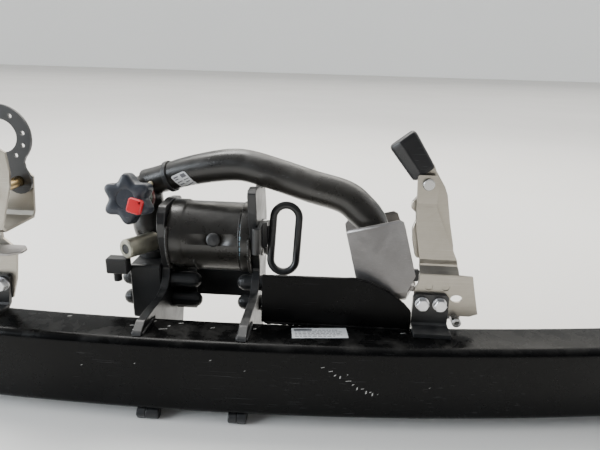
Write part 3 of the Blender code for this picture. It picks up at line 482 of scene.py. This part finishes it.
neck.data.set_sharp_from_angle(angle=math.radians(55))
neck.data.materials.clear()
neck.data.materials.append(MATS["neck_paint"])
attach(neck, "neck")
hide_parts("swan_neck")


# ---- handwheel: six soft lobes with rounded rims and a stepped face
def star(tip, waist, power=1.1):
    def radius(a):
        w = 0.5 + 0.5 * math.cos(6 * (a - math.radians(24)))
        return waist + (tip - waist) * w ** power
    return radius


stack = [(36.0, 7.4), (36.0, 15.2), (36.3, 15.8), (36.9, 16.0), (46.2, 16.0), (46.5, 16.2)]
stack += [(46.6, star(26.5, 18.5)), (46.9, star(28.4, 20.4)), (47.8, star(30.0, 22.0)), (49.3, star(30.9, 22.9)), (52, star(31, 23)),
          (60.5, star(31, 23)), (62.8, star(30.8, 22.8)), (64.6, star(30.1, 22.1)), (66.0, star(28.8, 20.9)), (66.9, star(27.0, 19.2)),
          (67.4, star(24.5, 17.2)), (67.6, star(21.0, 15.0)), (67.6, 12.2), (67.3, 11.6), (67.0, 11.4), (67.0, 0.4), (59.6, 0.4), (59.6, 7.4)]
wheel = make("wheel_skin", turned(stack, basis(on_plug(75, 0, 4), OUT, SIDE), 150, wrap=True), "wheel_plastic", None, 30)
lock_at = on_plug(75 - 9.5, 0, 4 + 13.5)
cut = make("tmp_lock", turned([(61, 6.4), (80, 6.4)], basis(lock_at, OUT), 40), "wheel_plastic", None)
boolean(wheel, cut, "DIFFERENCE")
bake(wheel)
drop(cut)
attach(wheel, "wheel")
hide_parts("handwheel")
# collar round the lock, standing on the wheel's face
make("lock_rim", turned([(66.9, 6.5), (66.9, 9.6), (67.6, 9.9), (68.3, 9.6), (68.6, 9.0), (68.6, 6.5)], basis(lock_at, OUT), 48, wrap=True),
     "wheel_plastic", "wheel", 30)

# ---- housing: fine cylinder with its two flanges
FL, HR = 51.5, 44.0
prof = [(0, 17.4), (0, HR + 0.5), (0.5, HR + 1.1), (1.5, HR + 1.5), (FL - 35, HR + 1.5), (FL - 34, HR + 1.3), (FL - 33, HR + 0.8), (FL - 32, HR + 0.3), (FL - 31, HR),
        (FL + 38, HR), (FL + 38.5, HR + 0.6), (FL + 39.3, HR + 1.3), (FL + 40, HR + 1.5), (2 * FL - 1.5, HR + 1.5), (2 * FL - 0.5, HR + 1.1), (2 * FL, HR + 0.5), (2 * FL, 17.4)]
housing = make("housing_skin", turned(prof, basis((-FL, 148.4, 158.5), (1, 0, 0), (0, 1, 0)), 128, wrap=True), "housing_paint", None, 40)
cut = make("tmp_port", turned([(8, 7.0), (60, 7.0)], basis((7, 148.4, 158.5), (0, -math.cos(math.radians(12)), math.sin(math.radians(12)))), 40), "housing_paint", None)
boolean(housing, cut, "DIFFERENCE")
bake(housing)
drop(cut)
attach(housing, "carrier")
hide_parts("swivel_housing")


# ---- weld beads
def bead(name, pts, r, seed, body="carrier", mat="housing_paint", steps=8):
    path = []
    line = spline([(*p, r) for p in pts], steps)
    for i, p in enumerate(line):
        k = 1 + 0.16 * math.sin(i * 1.9 + seed) + 0.22 * noise.noise(Vector((i * 0.7, seed, 0)))
        k *= min(1.0, 0.35 + 0.35 * min(i, len(line) - 1 - i))
        path.append((p[0] + 0.3 * noise.noise(Vector((i * 0.5, seed, 5))), p[1], p[2], p[3] * k))
    return make(name, swept(path, 12, ripple=0.25, seed=seed), mat, body, 60)


def arc(x, radius, a0, a1, n=9):
    return [(x, 148.4 + radius * math.cos(math.radians(a0 + (a1 - a0) * i / n)), 158.5 + radius * math.sin(math.radians(a0 + (a1 - a0) * i / n)))
            for i in range(n + 1)]


bead("weld_left_front", arc(-50.2, HR + 2.0, 150, 262, 14), 2.0, 1.0)
bead("weld_right_front", arc(50.2, HR + 2.0, 165, 285, 14), 2.1, 2.0)
bead("weld_flange_left", arc(-18.0, HR + 0.2, 205, 262, 8), 1.3, 3.0)
bead("weld_flange_right", arc(37.4, HR + 0.2, 120, 262, 14), 1.2, 4.0)
for side, sx in (("left", -1), ("right", 1)):
    for k, dx in enumerate((-5.6, 5.6)):
        x = sx * 56.8 + dx
        bead(f"weld_foot_{side}_{k}", [(x, 12 + 0.5 * j * 7.0, 90.6 + 0.1 * noise.noise(Vector((j, x, 0)))) for j in range(12)], 1.5, 5.0 + k + sx, mat="plate_paint", steps=4)
bead("weld_gusset", [(76 + 12 * j, 51.0, 90.6) for j in range(14)], 1.5, 9.0, mat="gusset_paint", steps=5)
bead("weld_eyelet", [(72.4, 117.6, 160 + 3.1 * j) for j in range(9)], 1.5, 11.0, mat="plate_paint", steps=5)

# ---- labels and marks that lie on a surface
from mathutils.bvhtree import BVHTree


def tree_of(*obs):
    verts, polys = [], []
    for ob in obs:
        n = len(verts)
        verts += [v.co.copy() for v in ob.data.vertices]
        polys += [[n + k for k in p.vertices] for p in ob.data.polygons]
    return BVHTree.FromPolygons(verts, polys)


def decal(name, tree, corners, along, mat, body, lift, nx=24, ny=12, thick=0.00022, shape=None, round_=0.0):
    """A thin plate laid on the surface. corners: top-left, top-right, bottom-right, bottom-left in model millimetres;
    shape: sub-rectangle (u0, v0, u1, v1) of that patch."""
    u0, v0, u1, v1 = shape or (0, 0, 1, 1)
    c = [mm(p) for p in corners]
    d = Vector(along).normalized()
    top, low = [], []
    for j in range(ny + 1):
        rt, rl = [], []
        for i in range(nx + 1):
            a, b = i / nx, j / ny
            if round_:
                edge = max(0.0, abs(b - 0.5) * 2 - (1 - round_ * 2))
                inset = round_ * (1 - math.sqrt(max(0.0, 1 - (edge / (round_ * 2)) ** 2))) if edge > 0 else 0.0
                a = inset + a * (1 - 2 * inset)
            u, v = u0 + (u1 - u0) * a, v0 + (v1 - v0) * b
            p = (c[0] * (1 - u) + c[1] * u) * (1 - v) + (c[3] * (1 - u) + c[2] * u) * v
            hit, nor, _, _ = tree.ray_cast(p - d * 0.12, d, 0.4)
            if hit is None:
                hit, nor, _, _ = tree.find_nearest(p)
            if nor.dot(d) > 0:
                nor = -nor
            rt.append(hit + nor * (lift + thick))
            rl.append(hit + nor * lift)
        top.append(rt)
        low.append(rl)
    bm = bmesh.new()
    tv = [[bm.verts.new(p) for p in r] for r in top]
    lv = [[bm.verts.new(p) for p in r] for r in low]
    for j in range(ny):
        for i in range(nx):
            bm.faces.new((tv[j][i], tv[j][i + 1], tv[j + 1][i + 1], tv[j + 1][i]))
            bm.faces.new((lv[j + 1][i], lv[j + 1][i + 1], lv[j][i + 1], lv[j][i]))
    rim_t = tv[0] + [r[-1] for r in tv[1:]] + tv[-1][-2::-1] + [r[0] for r in tv[-2:0:-1]]
    rim_l = lv[0] + [r[-1] for r in lv[1:]] + lv[-1][-2::-1] + [r[0] for r in lv[-2:0:-1]]
    n = len(rim_t)
    for i in range(n):
        k = (i + 1) % n
        bm.faces.new((rim_t[k], rim_t[i], rim_l[i], rim_l[k]))
    return make(name, bm, mat, body, 60)


neck_tree = tree_of(neck)
FACE = (0.17, 0.95, -0.26)
TAG = [(-53.9, 151.9, 232.2), (-35.3, 150.7, 240.9), (-22.0, 144.8, 226.0), (-40.6, 146.0, 217.3)]
decal("neck_label", neck_tree, TAG, FACE, "silver_film", "neck", 0.00012, 30, 20, round_=0.12)
for k, box_ in enumerate([(0.10, 0.12, 0.42, 0.2), (0.10, 0.27, 0.34, 0.33), (0.58, 0.1, 0.9, 0.34), (0.1, 0.45, 0.46, 0.5), (0.56, 0.45, 0.92, 0.5),
                          (0.1, 0.6, 0.4, 0.65), (0.56, 0.6, 0.84, 0.65), (0.1, 0.76, 0.9, 0.8), (0.1, 0.87, 0.6, 0.91)]):
    decal(f"neck_print_{k}", neck_tree, TAG, FACE, "film_line", "neck", 0.00036, 8, 3, 0.00005, box_)

# beam label: faint rows of dashes and a dark corner block, no words
lab = Matrix.Translation((139.7, 34.9, 90.55)) @ Matrix.Rotation(math.radians(5.9), 4, "Z")


def chip(name, x0, y0, x1, y1, z=0.0, h=0.06, mat="film_line"):
    bm = bmesh.new()
    line = outline_round([(x0, y0), (x1, y0), (x1, y1), (x0, y1)], min(x1 - x0, y1 - y0) * 0.3, 2)
    lo_ = [bm.verts.new(mm(lab @ Vector((x, y, z)))) for x, y in line]
    hi_ = [bm.verts.new(mm(lab @ Vector((x, y, z + h)))) for x, y in line]
    bm.faces.new(lo_[::-1]), bm.faces.new(hi_)
    for i in range(len(line)):
        j = (i + 1) % len(line)
        bm.faces.new((lo_[i], lo_[j], hi_[j], hi_[i]))
    return make(name, bm, mat, "carrier", 30)


chip("label_block", -28.6, 4.2, -8.0, 8.2)
row_n = 0
for y, parts in ((5.6, 7), (1.9, 12), (-1.2, 12), (-4.3, 11), (-7.4, 9)):
    x = -27.5 if y < 5 else -5.0
    for k in range(parts):
        w = 1.6 + 3.4 * random.random()
        if x + w > 28:
            break
        chip(f"label_dash_{row_n}", x, y - 0.55, x + w, y + 0.55)
        row_n += 1
        x += w + 0.9 + random.random()

# chalky marks left by tape on the housing and plate edge
house_tree = tree_of(housing)
FRONT_ = (0, 1, 0)
for k in range(11):
    z = 193 - k * 6.6
    w = 1.2 + 1.6 * random.random()
    x = 37.4 + 1.4 * (random.random() - 0.5)
    decal(f"tape_line_{k}", house_tree, [(x, 100, z), (x + w, 100, z), (x + w * 0.8, 100, z - 4.2 - random.random()), (x - 0.3, 100, z - 4.6)],
          FRONT_, "blue_mark", "carrier", 0.0001, 4, 6, 0.00005)

# scuffs on the beam: short bright strokes in a slanting row
beam_tree = tree_of(beam)
for k, (x, z, w, h) in enumerate([(143, 68, 3.5, 0.7), (151, 63.5, 4.5, 0.8), (157, 59, 2.2, 1.6), (163, 57.5, 1.4, 3.0), (170, 52, 6.0, 0.8),
                                  (177, 47.5, 2.0, 0.9), (182, 44.0, 1.2, 3.4), (187, 42.5, 3.0, 0.8), (192, 39.5, 1.3, 3.8), (196, 38.5, 2.2, 0.9),
                                  (199, 37.0, 1.2, 3.6), (171, 60, 1.0, 1.0), (205, 36, 0.9, 1.2), (61, 60, 1.4, 0.8), (-118, 55, 1.8, 0.7), (-58, 62, 1.2, 1.1), (24, 71, 2.2, 0.7), (260, 45, 1.6, 0.8)]):
    y = BOW * x * x - 5
    decal(f"scuff_{k}", beam_tree, [(x, y, z), (x + w, y, z + 0.8), (x + w * 0.9, y, z + 0.8 - h), (x - 0.4, y, z - h)],
          (0, 1, 0), "bare_scratch", "carrier", 0.00005, 4, 3, 0.00003)
for k, (x, y, w, h) in enumerate([(-72, 30, 7, 0.8), (-60, 36, 4, 0.7), (-38, 26, 9, 0.8), (-30, 33, 3, 1.2), (-20, 40, 6, 0.6), (18, 34, 5, 0.7), (66, 36, 3, 1.0),
                                  (-48, 42, 2, 1.6), (80, 46, 4, 0.8), (-150, 40, 5, 0.8), (230, 36, 6, 0.8), (248, 33, 2, 1.4), (-66, 22, 2.4, 1.0)]):
    y += BOW * x * x
    decal(f"rub_{k}", beam_tree, [(x, y, 95), (x + w, y + 1.4, 95), (x + w, y + 1.4 - h, 95), (x, y - h, 95)],
          (0, 0, -1), "bare_scratch", "carrier", 0.00005, 4, 3, 0.00003)

# ---- lever grip: sleeve with a raised ridge along its front
A_, B_, C_, D_ = (Vector(p) for p in ((204.0, 291.8), (228.8, 311.2), (253.8, 273.4), (233.0, 256.2)))
rows = []
N = 26
for j in range(N + 1):
    v = j / N                       # 0 at the closed end, 1 at the mouth
    left, right = A_.lerp(D_, v), B_.lerp(C_, v)
    mid = (left + right) / 2
    end = min(1.0, (v * N + 0.25) / 3.0)
    pinch = 0.86 + 0.14 * math.sin(end * math.pi / 2)
    mouth = 1.0 - 0.04 * max(0.0, (v - 0.92) / 0.08)
    ring = [(0.0, 77.5), (0.03, 74.6), (0.10, 73.0), (0.30, 70.4), (0.34, 69.7), (0.38, 69.6), (0.42, 70.3), (0.46, 70.9), (0.9, 71.3), (0.97, 73.0),
            (1.0, 76.0), (1.0, 80.0), (0.97, 84.0), (0.9, 85.7), (0.5, 86.0), (0.1, 85.7), (0.03, 84.0), (0.0, 81.0)]
    row = []
    for u, y in ring:
        uu = 0.5 + (u - 0.5) * pinch * mouth
        q = left.lerp(right, uu)
        yy = 77.8 + (y - 77.8) * (0.8 + 0.2 * math.sin(end * math.pi / 2)) * mouth
        q = q + (mid - q) * 0.0
        row.append(mm((q.x, yy, q.y)))
    rows.append(row)
grip = make("grip_skin", loft(rows), "grip_plastic", None, 50)
bv = grip.modifiers.new("bv", "BEVEL")
bv.width, bv.segments, bv.limit_method, bv.angle_limit = 0.0012, 4, "ANGLE", math.radians(45)
bake(grip)
slot_cut = bmesh.new()
line = [(230, 245), (274, 245), (267.6, 252.3), (256.3, 269.6), (252.1, 278.8), (236.6, 276.8)]
f0 = [slot_cut.verts.new(mm((x, 74.0, z))) for x, z in line]
f1 = [slot_cut.verts.new(mm((x, 78.8, z))) for x, z in line]
slot_cut.faces.new(f0), slot_cut.faces.new(f1[::-1])
for i in range(6):
    slot_cut.faces.new((f0[i], f1[i], f1[(i + 1) % 6], f0[(i + 1) % 6]))
cut = make("tmp_slot", slot_cut, "grip_plastic", None)
boolean(grip, cut, "DIFFERENCE")
bake(grip)
drop(cut)
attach(grip, "lever")
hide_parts("lever_grip")

# ---- ring on the eyelet: fine bar
loop = [(15.6 * math.cos(math.radians(a)), 25.4 + 15.6 * math.sin(math.radians(a))) for a in range(0, 181, 6)]
loop += [(-15.6, 25.4 - 5.08 * k) for k in range(1, 10)]
loop += [(15.6 * math.cos(math.radians(a)), -25.4 + 15.6 * math.sin(math.radians(a))) for a in range(180, 361, 6)]
loop += [(15.6, -25.4 + 5.08 * k) for k in range(1, 10)]
ln = math.radians(-2.5)
make("eyelet_skin", swept([(92.8 + u * math.cos(ln) - v * math.sin(ln), 118 + 0.16 * v, 168.7 + u * math.sin(ln) + v * math.cos(ln), 4.6) for u, v in loop],
                          40, wrap=True), "plate_paint", "carrier", 60, ("eyelet_ring",))


# =============================================================== stage, light, camera
def plane(name, pts, mat):
    me = bpy.data.meshes.new(name)
    me.from_pydata(pts, [], [tuple(range(len(pts)))])
    ob = bpy.data.objects.new(name, me)
    ob.data.materials.append(mat)
    bpy.context.scene.collection.objects.link(ob)
    return ob


t = Tree("floor")
cloud = t.noise(1.1, 2.0)
MATS["floor"] = t.done(t.mix(t.ramp(cloud, 0.3, 0.7), (0.76, 0.745, 0.715), (0.80, 0.785, 0.755)), 0.6, 0.0,
                       t.bump(t.noise(300.0, 2.0), 0.04, 0.0005), 0.25)
t = Tree("wall")
MATS["wall"] = t.done(t.mix(t.ramp(t.noise(0.2, 2.0), 0.3, 0.7), (0.80, 0.81, 0.80), (0.84, 0.85, 0.84)), 0.8, 0.0,
                      t.bump(t.noise(30.0, 2.0), 0.05, 0.002), 0.2)
for node in MATS["wall"].node_tree.nodes:
    if node.type == "BSDF_PRINCIPLED":
        node.inputs["Emission Color"].default_value = (0.9, 0.92, 0.91, 1.0)
        node.inputs["Emission Strength"].default_value = 0.55
plane("floor", [(-40, -8, 0), (40, -8, 0), (40, 24, 0), (-40, 19, 0)], MATS["floor"])
plane("wall", [(-40, 19, 0), (40, 24, 0), (40, 24, 30), (-40, 19, 30)], MATS["wall"])

world = bpy.data.worlds.new("studio")
bpy.context.scene.world = world
world.use_nodes = True
wt = world.node_tree
bg = wt.nodes["Background"]
tc = wt.nodes.new("ShaderNodeTexCoord")
sep = wt.nodes.new("ShaderNodeSeparateXYZ")
wt.links.new(tc.outputs["Generated"], sep.inputs[0])
mr = wt.nodes.new("ShaderNodeMapRange")
mr.interpolation_type = "SMOOTHSTEP"
mr.inputs["From Min"].default_value = -0.9
mr.inputs["From Max"].default_value = 0.6
wt.links.new(sep.outputs[1], mr.inputs["Value"])
mixn = wt.nodes.new("ShaderNodeMix")
mixn.data_type = "RGBA"
wt.links.new(mr.outputs["Result"], mixn.inputs[0])
mixn.inputs[6].default_value = (0.05, 0.055, 0.065, 1)
mixn.inputs[7].default_value = (1.0, 1.0, 0.99, 1)
wt.links.new(mixn.outputs[2], bg.inputs["Color"])
bg.inputs["Strength"].default_value = 1.9


def area(name, at, look, size, size_y, power, color=(1, 1, 1)):
    l = bpy.data.lights.new(name, "AREA")
    l.shape = "RECTANGLE"
    l.size, l.size_y, l.energy, l.color = size, size_y, power, color
    o = bpy.data.objects.new(name, l)
    o.location = at
    o.rotation_euler = (Vector(look) - Vector(at)).to_track_quat("-Z", "Y").to_euler()
    bpy.context.scene.collection.objects.link(o)
    return o


sun = bpy.data.lights.new("sky_soft", "SUN")
sun.energy = 4.4
sun.angle = math.radians(35)
sun.color = (1.0, 0.985, 0.95)
so = bpy.data.objects.new("sky_soft", sun)
so.rotation_euler = (math.radians(-28), math.radians(-22), 0)
bpy.context.scene.collection.objects.link(so)
area("left_window", (-2.4, -0.9, 0.9), (-0.3, 0.0, 0.1), 1.6, 1.4, 110.0, (0.86, 0.93, 1.0))
area("back_top", (0.4, 1.6, 1.7), (0.0, 0.05, 0.15), 2.6, 1.2, 40.0, (1.0, 0.96, 0.88))

cam = bpy.data.cameras.new("camera")
cam.lens, cam.sensor_width, cam.clip_start, cam.clip_end = 28.8, 36.0, 0.01, 200.0
cam_obj = bpy.data.objects.new("camera", cam)
bpy.context.scene.collection.objects.link(cam_obj)
yaw, pitch, roll = (math.radians(v) for v in (2.4597, 18.536, 1.7712))
fwd = Vector((-math.sin(yaw) * math.cos(pitch), math.cos(yaw) * math.cos(pitch), -math.sin(pitch)))
right = Vector((math.cos(yaw), math.sin(yaw), 0))
upv = right.cross(fwd)
c, s = math.cos(roll), math.sin(roll)
r2, u2 = c * right + s * upv, -s * right + c * upv
cam_obj.matrix_world = Matrix.Translation((0.134415, -0.528737, 0.385125)) @ Matrix((r2, u2, -fwd)).transposed().to_4x4()
bpy.context.scene.camera = cam_obj
